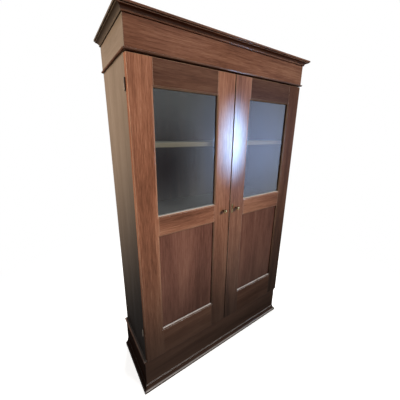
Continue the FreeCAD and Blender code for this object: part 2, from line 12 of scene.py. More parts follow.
import bmesh
import bpy
from mathutils import Matrix, Vector


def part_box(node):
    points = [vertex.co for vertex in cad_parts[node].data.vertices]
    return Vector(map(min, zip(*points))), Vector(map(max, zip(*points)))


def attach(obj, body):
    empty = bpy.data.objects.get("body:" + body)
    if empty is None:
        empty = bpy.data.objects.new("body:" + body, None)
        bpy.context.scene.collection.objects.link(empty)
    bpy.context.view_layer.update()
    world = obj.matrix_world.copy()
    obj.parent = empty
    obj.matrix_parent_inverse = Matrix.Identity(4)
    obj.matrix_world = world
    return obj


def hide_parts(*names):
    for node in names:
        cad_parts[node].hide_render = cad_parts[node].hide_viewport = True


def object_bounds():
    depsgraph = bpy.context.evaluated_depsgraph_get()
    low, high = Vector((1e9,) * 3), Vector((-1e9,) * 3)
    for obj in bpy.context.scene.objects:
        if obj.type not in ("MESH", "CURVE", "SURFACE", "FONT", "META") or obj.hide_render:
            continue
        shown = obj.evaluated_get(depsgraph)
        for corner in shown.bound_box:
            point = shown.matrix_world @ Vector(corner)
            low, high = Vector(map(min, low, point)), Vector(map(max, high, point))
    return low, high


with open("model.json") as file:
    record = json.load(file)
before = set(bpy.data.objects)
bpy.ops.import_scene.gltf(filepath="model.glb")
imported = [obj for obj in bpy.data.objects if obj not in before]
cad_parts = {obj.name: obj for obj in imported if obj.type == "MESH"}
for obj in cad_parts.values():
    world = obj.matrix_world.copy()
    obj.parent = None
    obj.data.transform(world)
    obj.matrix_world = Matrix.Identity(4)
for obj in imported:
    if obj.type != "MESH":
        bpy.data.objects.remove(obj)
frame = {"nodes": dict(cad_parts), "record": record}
nodes = frame["nodes"]
cad_low, cad_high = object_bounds()
MM = 0.001
print(len(nodes), "nodes, size", [round(side, 3) for side in cad_high - cad_low])

# %% [markdown]
# ## The camera
# The photograph was taken from near by, a little to the left of the cupboard. A short lens close to the
# object makes the near edge tall and lets the far edge shrink, so the distance matters more than the zoom.
# The picture was trimmed after it was taken, which moves the middle of the lens away from the middle of the
# frame. Camera shift does the same here.

# %% Set up the camera
SENSOR = 36.0
FRAME_SIDE = 400.0
LENS_IN_FRAME = 212.3 / FRAME_SIDE
LENS_CENTRE_RIGHT = 190.95 / FRAME_SIDE
LENS_CENTRE_DOWN = 195.11 / FRAME_SIDE
CAMERA_PLACE = (-0.885, -1.110, 1.517)
TURN_RIGHT = math.radians(32.82)
LOOK_DOWN = math.radians(15.43)

camera_data = bpy.data.cameras.new("camera")
camera_data.sensor_width = SENSOR
camera_data.lens = SENSOR * LENS_IN_FRAME
camera_data.shift_x = 0.5 - LENS_CENTRE_RIGHT
camera_data.shift_y = LENS_CENTRE_DOWN - 0.5
camera = bpy.data.objects.new("camera", camera_data)
camera.location = CAMERA_PLACE
camera.rotation_euler = (math.pi / 2 - LOOK_DOWN, 0, -TURN_RIGHT)
bpy.context.scene.collection.objects.link(camera)
bpy.context.scene.camera = camera
bpy.context.scene.view_settings.view_transform = "Standard"
print("lens", round(camera_data.lens, 1), "mm")

# %% [markdown]
# ## Helpers for materials
# Colours are written as the hex values that a painter would read off a screen. Blender works with linear
# light, so one function turns them over. A second function adds one node to a material, with its settings
# and links, which keeps each material short enough to read as a recipe. A Mix node has sockets for numbers,
# vectors and colours under the same names, so the ones for colours go by their numbers.

# %% Colour and node helpers
SHARE, FROM, TO = 0, 6, 7
COLOURS = {"data_type": "RGBA"}
TINTED = {**COLOURS, "blend_type": "MULTIPLY", SHARE: 1.0}


def linear(hex_colour):
    """An sRGB hex colour as linear red, green, blue and alpha."""
    channels = [int(hex_colour[index:index + 2], 16) / 255 for index in (1, 3, 5)]
    return [c / 12.92 if c <= 0.04045 else ((c + 0.055) / 1.055) ** 2.4 for c in channels] + [1.0]


def add(tree, kind, settings, links=None):
    """One node: settings name its properties or sockets, links name its sockets and what feeds them."""
    node = tree.nodes.new("ShaderNode" + kind)
    for key, value in settings.items():
        if key == "stops":
            elements = node.color_ramp.elements
            while len(elements) < len(value):
                elements.new(1.0)
            for element, (position, colour) in zip(elements, value):
                element.position, element.color = position, linear(colour)
        elif isinstance(key, int) or key in node.inputs:
            node.inputs[key].default_value = value
        else:
            setattr(node, key, value)
    for key, source in (links or {}).items():
        if hasattr(source, "outputs"):
            source = next(output for output in source.outputs if output.enabled)
        tree.links.new(source, node.inputs[key])
    return node


def new_material(name):
    """An empty material and its node tree."""
    material = bpy.data.materials.new(name)
    material.use_nodes = True
    material.node_tree.nodes.clear()
    return material, material.node_tree


print("mid grey is", round(linear("#808080")[0], 3), "in linear light")

# %% [markdown]
# ## Mahogany: the grain
# The show wood is mahogany, planed and scraped, then stained. To the eye that is a red-brown with slow
# changes of tone, straight ribbons about a centimetre wide, and fine dark pores along the grain. The patterns
# are noise textures, drawn out along the board. A random shift for each object cuts every board from another
# place in the tree, and the object's own colour makes one board lighter or darker than the next.

# %% Draw the grain
FLAME_WIDTH, FLAME_STRETCH = 90 * MM, 9
RIBBON_WIDTH, RIBBON_STRETCH = 9 * MM, 50
PORE_WIDTH, PORE_STRETCH = 3.0 * MM, 22  # real pores are a tenth as wide, too fine for the picture
RIBBON_SHARE = 0.45
PORE_SHARE = 0.9
TONE_STOPS = (0.39, 0.50, 0.61)
PLACE_IN_TREE = (17.0, 11.0, 23.0)


def stretched(tree, where, along, length):
    """Texture space in which patterns are drawn out along one axis by this factor."""
    squeeze = [1.0, 1.0, 1.0]
    squeeze[along] = 1 / length
    return add(tree, "VectorMath", {"operation": "MULTIPLY", 1: squeeze}, {0: where})


def grain(tree, along, tones):
    """Wood colour with the grain along one axis, with the patterns that made it."""
    place = add(tree, "TexCoord", {})
    board = add(tree, "ObjectInfo", {})
    where = add(
        tree, "VectorMath", {"operation": "MULTIPLY_ADD", 1: PLACE_IN_TREE},
        {0: board.outputs["Random"], 2: place.outputs["Object"]},
    )
    flames = add(
        tree, "TexNoise", {"Scale": 1 / FLAME_WIDTH, "Detail": 4.0, "Roughness": 0.55, "Distortion": 0.4},
        {"Vector": stretched(tree, where, along, FLAME_STRETCH)},
    )
    ribbons = add(
        tree, "TexNoise", {"Scale": 1 / RIBBON_WIDTH, "Detail": 3.0, "Roughness": 0.6},
        {"Vector": stretched(tree, where, along, RIBBON_STRETCH)},
    )
    pores = add(
        tree, "TexNoise", {"Scale": 1 / PORE_WIDTH, "Detail": 3.0, "Roughness": 0.75},
        {"Vector": stretched(tree, where, along, PORE_STRETCH)},
    )
    figure = add(tree, "Math", {"operation": "MULTIPLY_ADD", 1: RIBBON_SHARE}, {0: ribbons, 2: flames})
    figure = add(tree, "Math", {"operation": "MULTIPLY_ADD", 1: PORE_SHARE}, {0: pores, 2: figure})
    figure = add(tree, "Math", {"operation": "DIVIDE", 1: 1 + RIBBON_SHARE + PORE_SHARE}, {0: figure})
    stain = add(tree, "ValToRGB", {"stops": list(zip(TONE_STOPS, tones))}, {0: figure})
    # The object's colour: the board's tone, which also carries painted light and shade.
    colour = add(tree, "Mix", TINTED, {FROM: stain, TO: board.outputs["Color"]})
    return colour, where, flames, pores


print("flames", FLAME_WIDTH, "ribbons", RIBBON_WIDTH, "metres wide")

# %% [markdown]
# ## Mahogany: a hundred years of use
# Edges have lost their stain to hands and dusters, and the same pale colour also serves as a painted
# highlight along the arrises. A Bevel node finds them: where the rounded normal and the true one differ,
# there is an edge. Nobody rubs evenly, so the flames of the grain break the paling up. The rounded normal is
# kept, because it also eases the edge for the light.

# %% Wear the edges
EDGE_EASE = 3.0 * MM
EDGE_FOUND = {"From Min": 0.98, "From Max": 0.80}
PATCHY_WEAR = {"From Min": 0.35, "From Max": 0.6, "To Min": 0.3}


def worn_edges(tree, colour, flames, bare):
    """The colour with bare edges that are also a painted highlight, the eased normal, and the edge mask."""
    eased = add(tree, "Bevel", {"samples": 4, "Radius": EDGE_EASE})
    surface = add(tree, "NewGeometry", {})
    edge = add(
        tree, "VectorMath", {"operation": "DOT_PRODUCT"}, {0: eased, 1: surface.outputs["True Normal"]}
    )
    worn = add(tree, "MapRange", EDGE_FOUND, {"Value": edge})
    uneven = add(tree, "MapRange", PATCHY_WEAR, {"Value": flames})
    patchy = add(tree, "Math", {"operation": "MULTIPLY"}, {0: worn, 1: uneven})
    # Pale edges: partly bare wood, partly a painted highlight.
    colour = add(tree, "Mix", {**COLOURS, TO: linear(bare)}, {SHARE: patchy, FROM: colour})
    return colour, eased, worn


print("edges eased by", EDGE_EASE, "m")

# %% [markdown]
# Towards the floor the wood is painted darker, which is painted shade, and the darkening follows the height,
# which is Z. Near the front this painted shade reaches higher, so a share of Y is added to the height.
# Corners and gaps are painted darker as well, which is painted shade too, and Ambient Occlusion finds those.
# Dust lies on what faces up, such as the ledge below each pane, and its pale colour there is also a painted
# highlight.

# %% Add painted shade, and dust with a painted highlight
GRIME = "#362C27"
GRIME_REACH = 16 * MM
HANDLED = 1.3
CLEAN_AT_FOOT = 0.08
UNEVEN_GRIME = {"From Min": 0.3, "From Max": 0.7, "To Min": 0.6, "To Max": 1.4}
CORNER_DIRT = {"From Min": 0.15, "From Max": 0.85, "To Min": 0.15}
# Pale dust on what faces up. On the ledges it is also a painted highlight.
DUST = "#DFDBD9"
FACES_UP = {"From Min": 0.74, "From Max": 0.96}


def grimy(tree, colour, flames, darkens, grime):
    """The colour with painted shade towards the floor and in corners, and the share left above the foot: the
    shade fades out between two heights.
    """
    place = add(tree, "TexCoord", {})
    at = add(tree, "SeparateXYZ", {}, {0: place.outputs["Object"]})
    height = add(
        tree, "Math", {"operation": "MULTIPLY_ADD", 1: HANDLED}, {0: at.outputs["Y"], 2: at.outputs["Z"]}
    )
    foul, fair = [level + cad_low.y * HANDLED for level in darkens]
    fading = {"From Min": foul, "From Max": fair, "To Min": CLEAN_AT_FOOT}
    # Painted shade: the colour goes darker towards the floor, and higher up near the front.
    clean = add(tree, "MapRange", {"interpolation_type": "SMOOTHSTEP", **fading}, {"Value": height})
    uneven = add(tree, "MapRange", UNEVEN_GRIME, {"Value": flames})
    soiled = add(tree, "Mix", {**TINTED, FROM: linear(grime)}, {TO: uneven})
    colour = add(tree, "Mix", COLOURS, {SHARE: clean, FROM: soiled, TO: colour})
    # Painted shade in corners and gaps: Ambient Occlusion darkens the colour there.
    corners = add(tree, "AmbientOcclusion", {"samples": 6, "Distance": GRIME_REACH})
    dirt = add(tree, "MapRange", CORNER_DIRT, {"Value": corners.outputs["AO"]})
    return add(tree, "Mix", TINTED, {FROM: colour, TO: dirt}), clean


def dusted(tree, colour, dusty):
    """The colour with dust on what faces up, which also stands as a painted highlight on the ledges."""
    surface = add(tree, "NewGeometry", {})
    facing = add(tree, "SeparateXYZ", {}, {0: surface.outputs["Normal"]})
    dust = add(tree, "MapRange", {**FACES_UP, "To Max": dusty}, {"Value": facing.outputs["Z"]})
    return add(tree, "Mix", {**COLOURS, TO: linear(DUST)}, {SHARE: dust, FROM: colour})


# How far the painted corner shade reaches.
print("dirt reaches", GRIME_REACH, "m out of the corners")

# %% [markdown]
# ## Mahogany: the varnish
# Brushed varnish is a clear skin over the wood, so it is a coat on the shader: it mirrors the light on top of
# a wood that is itself almost dull. The brush leaves the skin slightly uneven, which softens what it mirrors.
# It went on the show faces, and the edges got what was left, though rubbing has polished those since. How
# much polish is left differs from board to board, and the object's alpha carries that. Near the floor hardly
# any is left.

# %% Brush the varnish on
WAVE_WIDTH, WAVE_STRETCH = 60 * MM, 3
WAVE_DEPTH = 0.25 * MM
LEFT_FOR_EDGES = 0.2
POLISHED_EDGE = 4.0


def brushed_skin(tree, along, where, eased):
    """The uneven surface that the brush left, as a normal."""
    strokes = stretched(tree, where, along, WAVE_STRETCH)
    brushed = add(tree, "TexNoise", {"Scale": 1 / WAVE_WIDTH, "Detail": 1.0}, {"Vector": strokes})
    return add(tree, "Bump", {"Strength": 0.3, "Distance": WAVE_DEPTH}, {"Height": brushed, "Normal": eased})


def polish_left(tree, gloss, square_on, clean, worn):
    """How much varnish there is, from the way a face looks, the board, the height and the edges."""
    brushed_on = {"To Min": gloss * LEFT_FOR_EDGES, "To Max": gloss}
    varnish = add(tree, "MapRange", brushed_on, {"Value": square_on})
    board = add(tree, "ObjectInfo", {})
    rubbed = add(tree, "MapRange", {"To Min": 1.0, "To Max": POLISHED_EDGE}, {"Value": worn})
    for share in (board.outputs["Alpha"], clean, rubbed):
        varnish = add(tree, "Math", {"operation": "MULTIPLY"}, {0: varnish, 1: share})
    return varnish


print("brush waves", WAVE_WIDTH, "m wide")

# %% [markdown]
# Two kinds of face differ from the rest of their board. The mouldings round the panes and panels are worked
# on the stiles and rails, and their faces get the pale edge colour as a painted highlight: those faces stand
# askew to the front. The case sides have only stain inside: those faces look to the middle, so their normal
# and their place have opposite signs.

# %% Put a wood together
PORE_DEPTH = 0.12 * MM
PORE_ROUGHNESS = {"To Min": 0.64, "To Max": 0.44}
WORKED_FACES = [(0.05, "#000000"), (0.25, "#D0D0D0"), (0.70, "#D0D0D0"), (0.92, "#000000")]
INNER_FACES = {"From Min": -0.1, "From Max": -0.3}


def wood(name, along, show, tones, gloss, bare, darkens, dusty, grime=GRIME, within=None, rubbed=False):
    """A wood: show is the axis its best face looks along, darkens the heights between which it does."""
    material, tree = new_material(name)
    colour, where, flames, pores = grain(tree, along, tones)
    place = add(tree, "TexCoord", {})
    facing = add(tree, "SeparateXYZ", {}, {0: place.outputs["Normal"]})
    square_on = add(tree, "Math", {"operation": "ABSOLUTE"}, {0: facing.outputs[show]})
    # A painted highlight on the moulding faces that stand askew to the front.
    if rubbed:
        worked = add(tree, "ValToRGB", {"stops": WORKED_FACES}, {0: square_on})
        colour = add(tree, "Mix", {**COLOURS, TO: linear(bare)}, {SHARE: worked, FROM: colour})
    if within:
        stained = grain(tree, along, within)[0]
        at = add(tree, "SeparateXYZ", {}, {0: place.outputs["Object"]})
        outward = add(tree, "Math", {"operation": "MULTIPLY"}, {0: facing.outputs["X"], 1: at.outputs["X"]})
        inward = add(tree, "MapRange", INNER_FACES, {"Value": outward})
        colour = add(tree, "Mix", COLOURS, {SHARE: inward, FROM: colour, TO: stained})
    colour, eased, worn = worn_edges(tree, colour, flames, bare)
    colour, clean = grimy(tree, colour, flames, darkens, grime)
    colour = dusted(tree, colour, dusty)
    open_pores = add(
        tree, "Bump", {"Strength": 0.25, "Distance": PORE_DEPTH}, {"Height": pores, "Normal": eased}
    )
    shader = add(
        tree, "BsdfPrincipled",
        {"IOR": 1.5, "Specular IOR Level": 0.0, "Coat Roughness": 0.12, "Coat IOR": 1.5},
        {
            "Base Color": colour, "Normal": open_pores,
            "Roughness": add(tree, "MapRange", PORE_ROUGHNESS, {"Value": pores}),
            "Coat Weight": polish_left(tree, gloss, square_on, clean, worn),
            "Coat Normal": brushed_skin(tree, along, where, eased),
        },
    )
    add(tree, "OutputMaterial", {}, {"Surface": shader})
    return material


AXES = "XYZ"


def three_ways(name, **finish):
    """The same wood with its grain along X, along Y and along Z."""
    return [wood(name + "_" + axis, along, **finish) for along, axis in enumerate(AXES)]


print("pores", PORE_DEPTH, "m deep")

# %% [markdown]
# ## The woods of this cupboard
# The front has the best varnish. The sides get less polish, and their pale grey-tan colour is a painted
# sheen. Towards the floor they are painted almost black with a cool tint, which is painted shade with a cool
# painted reflection. The panels were cut from a redder plank. The foot is hardly polished, and its sides are
# painted near black as painted shade. The inside has only a dark stain, deepened as painted shade, which is
# no darker near the floor.

# %% Mix the woods
SIDEWARD, FRONTWARD, UPRIGHT = 0, 1, 2
# Painted shade with a cool painted reflection, low on the case sides.
SOOT = "#24262A"
# Painted shade on the sides of the foot.
FLOOR_SOOT = "#141010"
BELOW_FLOOR = (-2.0, -1.0)
FRONT_TONES = ("#593727", "#7F523D", "#9D7057")
# A pale grey-tan that paints the sheen of the sides.
SIDE_TONES = ("#766656", "#806E5E", "#897868")
PANEL_TONES = ("#5A372B", "#764D40", "#8B6150")
FOOT_TONES = ("#573829", "#704936", "#835A43")
# A dark stain, deepened as painted shade.
INSIDE_TONES = ("#271711", "#352018", "#432B20")

front = {
    "show": FRONTWARD, "tones": FRONT_TONES, "gloss": 0.26, "bare": "#D0AA8A", "darkens": (0.25, 1.25),
    "dusty": 1.0,
}
front_wood = three_ways("varnished_mahogany", **front)
door_wood = three_ways("rubbed_varnished_mahogany", **front, rubbed=True)
side_wood = three_ways(
    "thinly_varnished_mahogany", show=SIDEWARD, tones=SIDE_TONES, gloss=0.08, bare="#A88C6C",
    darkens=(0.6, 1.95), dusty=0.3, grime=SOOT, within=INSIDE_TONES,
)
foot = {"show": FRONTWARD, "tones": FOOT_TONES, "gloss": 0.12, "darkens": (0.15, 0.9)}
foot_wood = three_ways("dull_stained_mahogany", **foot, bare="#A08670", dusty=0.9)
plinth_wood = three_ways("dull_mahogany_plinth", **foot, bare="#806A58", dusty=0.12)
foot_side_wood = three_ways(
    "sooty_mahogany_foot", show=SIDEWARD, tones=FOOT_TONES, gloss=0.05, bare="#6A5644",
    darkens=(0.9, 2.5), dusty=0.08, grime=FLOOR_SOOT,
)
panel_wood = wood(
    "varnished_mahogany_panel", UPRIGHT, show=FRONTWARD, tones=PANEL_TONES, gloss=0.20, bare="#95674C",
    darkens=(0.15, 1.0), dusty=0.3,
)
inside_wood = three_ways(
    "stained_inside_wood", show=FRONTWARD, tones=INSIDE_TONES, gloss=0.02, bare="#8A6A50",
    darkens=BELOW_FLOOR, dusty=0.1,
)
print("woods for the front, doors, sides, foot, plinth, panels and inside")

# %% [markdown]
# ## Pine at the back
# Nobody sees the back of a cupboard, so it is sawn pine. The joiner stained it where it shows inside and left
# it raw behind, where it has gone grey-brown and dull. Each of the five boards came from another log, and
# dirt fills the joints between them. Three nails go through each board into the top and the bottom of the
# case. They sit flush, so they are drawn: a distance to the nearest place in a row of nails.

# %% Draw the boards and the nails
BOARDS = 5
BOARD_WIDTH = (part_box("back_boards")[1].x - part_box("back_boards")[0].x) / BOARDS
LOG_TONES = {"To Min": 0.78, "To Max": 1.1}
JOINT_DIRT = 2.5 * MM
DIRT = "#2E241B"
NAILS_APART = BOARD_WIDTH / 3
NAIL_RADIUS = 3.0 * MM
NAIL_INSET = 11 * MM
NAIL_IRON = "#3B322B"


def separate_boards(tree, across, colour):
    """A tone for each upright board, and dirt in the joints."""
    board = add(tree, "Math", {"operation": "DIVIDE", 1: BOARD_WIDTH}, {0: across})
    board = add(tree, "Math", {"operation": "ROUND"}, {0: board})
    log = add(tree, "TexWhiteNoise", {"noise_dimensions": "1D"}, {"W": board})
    tone = add(tree, "MapRange", LOG_TONES, {"Value": log})
    colour = add(tree, "Mix", TINTED, {FROM: colour, TO: tone})
    shifted = add(tree, "Math", {"operation": "ADD", 1: BOARD_WIDTH / 2}, {0: across})
    from_joint = add(tree, "Math", {"operation": "PINGPONG", 1: BOARD_WIDTH / 2}, {0: shifted})
    dirty = add(tree, "MapRange", {"From Min": JOINT_DIRT, "From Max": 0.0}, {"Value": from_joint})
    return add(tree, "Mix", {**COLOURS, TO: linear(DIRT)}, {SHARE: dirty, FROM: colour})


def nailed(tree, across, height, colour):
    """Nail heads in two rows, along the bottom and along the top of the case."""
    low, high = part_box("carcase_bottom")[0].z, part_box("carcase_top")[1].z
    row = (high - low) / 2 - NAIL_INSET
    from_nail = add(tree, "Math", {"operation": "PINGPONG", 1: NAILS_APART / 2}, {0: across})
    from_middle = add(tree, "Math", {"operation": "SUBTRACT", 1: (low + high) / 2}, {0: height})
    from_middle = add(tree, "Math", {"operation": "ABSOLUTE"}, {0: from_middle})
    from_row = add(tree, "Math", {"operation": "SUBTRACT", 1: row}, {0: from_middle})
    offset = add(tree, "CombineXYZ", {}, {0: from_nail, 1: from_row})
    reach = add(tree, "VectorMath", {"operation": "LENGTH"}, {0: offset})
    nail = add(tree, "MapRange", {"From Min": NAIL_RADIUS, "From Max": NAIL_RADIUS * 0.8}, {"Value": reach})
    return add(tree, "Mix", {**COLOURS, TO: linear(NAIL_IRON)}, {SHARE: nail, FROM: colour})


print("back boards", round(BOARD_WIDTH, 3), "m wide")

# %% Mix the pine
PINE_TONES = ("#6A543C", "#846A4C", "#9A805F")
BACK_FACES = {"From Min": 0.5, "From Max": 0.6}
SAW_MARKS = 0.4 * MM


def back_pine(along):
    """Pine that is stained inside and raw behind."""
    material, tree = new_material("sawn_pine_" + AXES[along])
    raw, _, _, pores = grain(tree, along, PINE_TONES)
    stained = grain(tree, along, INSIDE_TONES)[0]
    place = add(tree, "TexCoord", {})
    if along == UPRIGHT:
        at = add(tree, "SeparateXYZ", {}, {0: place.outputs["Object"]})
        raw = separate_boards(tree, at.outputs["X"], raw)
        raw = nailed(tree, at.outputs["X"], at.outputs["Z"], raw)
    facing = add(tree, "SeparateXYZ", {}, {0: place.outputs["Normal"]})
    behind = add(tree, "MapRange", BACK_FACES, {"Value": facing.outputs["Y"]})
    colour = add(tree, "Mix", COLOURS, {SHARE: behind, FROM: stained, TO: raw})
    sawn = add(tree, "Bump", {"Strength": 0.5, "Distance": SAW_MARKS}, {"Height": pores})
    shader = add(
        tree, "BsdfPrincipled", {"IOR": 1.5, "Specular IOR Level": 0.1, "Roughness": 0.8},
        {"Base Color": colour, "Normal": sawn},
    )
    add(tree, "OutputMaterial", {}, {"Surface": shader})
    return material


pine = [back_pine(along) for along in range(len(AXES))]
print("pine", len(pine), "ways")

# %% [markdown]
# ## Drawn sheet glass
# The panes are old sheet glass. It is clear, slightly green, and not quite flat, so that what it mirrors
# wobbles. In a path tracer light hardly finds its way through two faces of solid glass, and the shelves would
# go black. For shadow and diffuse rays the pane is therefore simply clear.

# %% Build the glass
GLASS_WAVE = 130 * MM
GLASS_WAVE_DEPTH = 0.4 * MM


def sheet_glass():
    """Clear drawn glass with a slight wave."""
    material, tree = new_material("drawn_sheet_glass")
    place = add(tree, "TexCoord", {})
    wave = add(
        tree, "TexNoise", {"Scale": 1 / GLASS_WAVE, "Detail": 1.0}, {"Vector": place.outputs["Object"]}
    )
    wobble = add(tree, "Bump", {"Strength": 0.04, "Distance": GLASS_WAVE_DEPTH}, {"Height": wave})
    pane = add(
        tree, "BsdfPrincipled",
        {"Base Color": linear("#E6EDEE"), "Transmission Weight": 1.0, "Roughness": 0.02, "IOR": 1.50},
        {"Normal": wobble},
    )
    clear = add(tree, "BsdfTransparent", {"Color": linear("#D8E0DE")})
    ray = add(tree, "LightPath", {})
    passing = add(
        tree, "Math", {"operation": "MAXIMUM"},
        {0: ray.outputs["Is Shadow Ray"], 1: ray.outputs["Is Diffuse Ray"]},
    )
    surface = add(tree, "MixShader", {}, {0: passing, 1: pane, 2: clear})
    add(tree, "OutputMaterial", {}, {"Surface": surface})
    return material


glass = sheet_glass()
print(glass.name)

# %% [markdown]
# ## Aged brass and oxidised steel
# The knobs, the keyhole plate and the bolts are cast and turned brass that hands keep half bright, with brown
# tarnish where nobody rubs, round the screws and in the corners. Towards the floor the metals are painted
# darker, which is painted shade, and made rougher. The hinges and the lock case are rolled steel gone dark.
# Both are metals whose colour and roughness change together, so one recipe serves with two sets of colours.

# %% Build the metals
PATCH_WIDTH = 14 * MM
DENT_DEPTH = 0.2 * MM
TARNISH_REACH = 3 * MM
PATCHES = {"From Min": 0.3, "From Max": 0.8, "To Max": 0.75}
METAL_CORNERS = {"From Min": 0.9, "From Max": 0.5}
TOWARDS_FLOOR = {"From Min": 0.9, "From Max": 0.4, "To Max": 0.65}


def old_metal(name, bright, dull, smooth, rough):
    """A metal with bright and dull patches, dull in its corners and smoother where it is bright."""
    material, tree = new_material(name)
    place = add(tree, "TexCoord", {})
    patches = add(
        tree, "TexNoise", {"Scale": 1 / PATCH_WIDTH, "Detail": 3.0, "Roughness": 0.55},
        {"Vector": place.outputs["Object"]},
    )
    corners = add(tree, "AmbientOcclusion", {"samples": 6, "Distance": TARNISH_REACH})
    at = add(tree, "SeparateXYZ", {}, {0: place.outputs["Object"]})
    tarnish = add(tree, "MapRange", PATCHES, {"Value": patches})
    closed_in = add(tree, "MapRange", METAL_CORNERS, {"Value": corners.outputs["AO"]})
    # Darker and rougher towards the floor: the darkening is painted shade.
    near_floor = add(tree, "MapRange", TOWARDS_FLOOR, {"Value": at.outputs["Z"]})
    for dullness in (closed_in, near_floor):
        tarnish = add(tree, "Math", {"operation": "MAXIMUM"}, {0: tarnish, 1: dullness})
    colour = add(tree, "Mix", {**COLOURS, FROM: linear(bright), TO: linear(dull)}, {SHARE: tarnish})
    roughness = add(tree, "MapRange", {"To Min": smooth, "To Max": rough}, {"Value": tarnish})
    dents = add(tree, "Bump", {"Strength": 0.2, "Distance": DENT_DEPTH}, {"Height": patches})
    shader = add(
        tree, "BsdfPrincipled", {"Metallic": 1.0},
        {"Base Color": colour, "Roughness": roughness, "Normal": dents},
    )
    add(tree, "OutputMaterial", {}, {"Surface": shader})
    return material


brass = old_metal("aged_brass", bright="#8A734F", dull="#33271A", smooth=0.14, rough=0.4)
steel = old_metal("oxidised_steel", bright="#665A50", dull="#2C231C", smooth=0.4, rough=0.65)
print(brass.name, steel.name)

# %% [markdown]
# ## Which finish goes on which node
# The record names a material slot for each node. For wood the grain has to run along the board as well, and
# the longest side of the node's box says which way that is. Nodes at the left and right of the case take the
# thinner varnish and the painted sheen of the sides, and so does the upper shelf, a paler board put in later.

# %% Choose the finishes
FITTING_FINISH = {"pane_glass": glass, "aged_brass": brass, "dark_steel": steel}
WOOD_OF_NODE = {
    "left_side": side_wood, "right_side": side_wood, "upper_shelf": side_wood,
    "frieze_left": side_wood, "frieze_right": side_wood,
    "cornice_left": side_wood, "cornice_right": side_wood,
    "plinth_left": foot_side_wood, "plinth_right": foot_side_wood,
    "base_moulding_left": foot_side_wood, "base_moulding_right": foot_side_wood,
    "plinth_front": plinth_wood, "plinth_lip": plinth_wood, "base_moulding_front": foot_wood,
    "back_boards": pine, "frieze_back": pine, "plinth_back": pine,
}
slots = {part["node"]: part["material_slot"] for part in frame["record"]["subparts"]}


def grain_axis(name):
    """The axis along which a board is longest."""
    low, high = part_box(name)
    sides = list(high - low)
    return sides.index(max(sides))


def finish_of(name):
    """The material of a node, from its name, its slot and its grain."""
    if slots[name] in FITTING_FINISH:
        return FITTING_FINISH[slots[name]]
    if name.endswith("_panel"):
        return panel_wood
    if name in WOOD_OF_NODE:
        woods = WOOD_OF_NODE[name]
    elif slots[name] == "inside_wood":
        woods = inside_wood
    elif name.endswith(("_stile", "_rail")):
        woods = door_wood
    else:
        woods = front_wood
    return woods[grain_axis(name)]


print(len(set(slots.values())), "slots")

# %% [markdown]
# Boards came from lighter or darker planks and kept more or less of their polish. The tones also carry
# painted light and shade: the left hinge stile is painted lighter, the right hinge stile and the top rails
# under the frieze darker, and the meeting stiles, the plinth and the base moulding lighter as a painted
# sheen. For each board that differs, a pair of numbers says how light it is and how much polish it has, and
# the object's colour and alpha hand them to the material.

# %% Give every node its material
PLANKS = {
    "left_hinge_stile": (1.4, 0.7), "left_meeting_stile": (1.15, 1.2), "right_meeting_stile": (1.1, 1.8),
    "right_hinge_stile": (0.48, 0.6), "left_top_rail": (0.45, 0.9), "right_top_rail": (0.34, 0.8),
    "left_middle_rail": (1.25, 1.0), "right_middle_rail": (1.1, 0.9), "left_bottom_rail": (1.6, 0.8),
    "right_bottom_rail": (1.7, 0.8), "right_panel": (0.82, 0.8),
    "frieze_front": (0.83, 0.8), "frieze_bead": (0.45, 1.2),
    "cornice_front": (0.78, 0.85), "cornice_left": (0.5, 1.0), "cornice_right": (0.5, 1.0),
    "upper_shelf": (2.0, 1.0), "middle_shelf": (0.6, 1.0),
    "plinth_front": (1.2, 1.6), "plinth_lip": (1.2, 1.6), "base_moulding_front": (1.6, 2.5),
}
PLAIN_PLANK = (1.0, 1.0)
for name, node in nodes.items():
    node.data.materials.clear()
    node.data.materials.append(finish_of(name))
    tone, polish = PLANKS.get(name, PLAIN_PLANK)
    node.color = (tone, tone, tone, polish)
print("finished", len(nodes), "nodes")

# %% [markdown]
# ## Turned knobs
# Each knob was turned on a lathe: a waisted neck and a round head with a soft dome. A lathe sweeps a profile
# round an axis, so the shape is a short list of radii and heights. The CAD knob is turned in flats to keep it
# light. This one is smooth and stands for it.

# %% Helpers for new pieces
LATHE_STEPS = 40
SHARP_EDGE = math.radians(35)


def aimed(centre, facing):
    """The turn and shift that carry a piece built upright at the origin to its place."""
    turn = Vector((0, 0, 1)).rotation_difference(Vector(facing)).to_matrix().to_4x4()
    return Matrix.Translation(centre) @ turn


def turn_profile(form, profile, place):
    """Sweep a profile of radii and heights in millimetres round its axis."""
    rings = []
    for radius, height in profile:
        corners = [2 * math.pi * step / LATHE_STEPS for step in range(LATHE_STEPS)]
        points = [Vector((radius * math.cos(angle), radius * math.sin(angle), height)) for angle in corners]
        rings.append([form.verts.new(place @ (point * MM)) for point in points])
    for low, high in zip(rings, rings[1:]):
        for step in range(LATHE_STEPS):
            form.faces.new((low[step - 1], low[step], high[step], high[step - 1]))
    form.faces.new(list(reversed(rings[0])))
    form.faces.new(rings[-1])


def finished_piece(form, name, body, slot_name):
    """Turn a form into an object that has the finish of its slot and rides on a body."""
    mesh = bpy.data.meshes.new(name)
    form.to_mesh(mesh)
    form.free()
    mesh.materials.append(FITTING_FINISH[slot_name])
    mesh.shade_smooth()
    mesh.set_sharp_from_angle(angle=SHARP_EDGE)
    piece = bpy.data.objects.new(name, mesh)
    bpy.context.scene.collection.objects.link(piece)
    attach(piece, body)
    return piece


print("a lathe of", LATHE_STEPS, "steps")

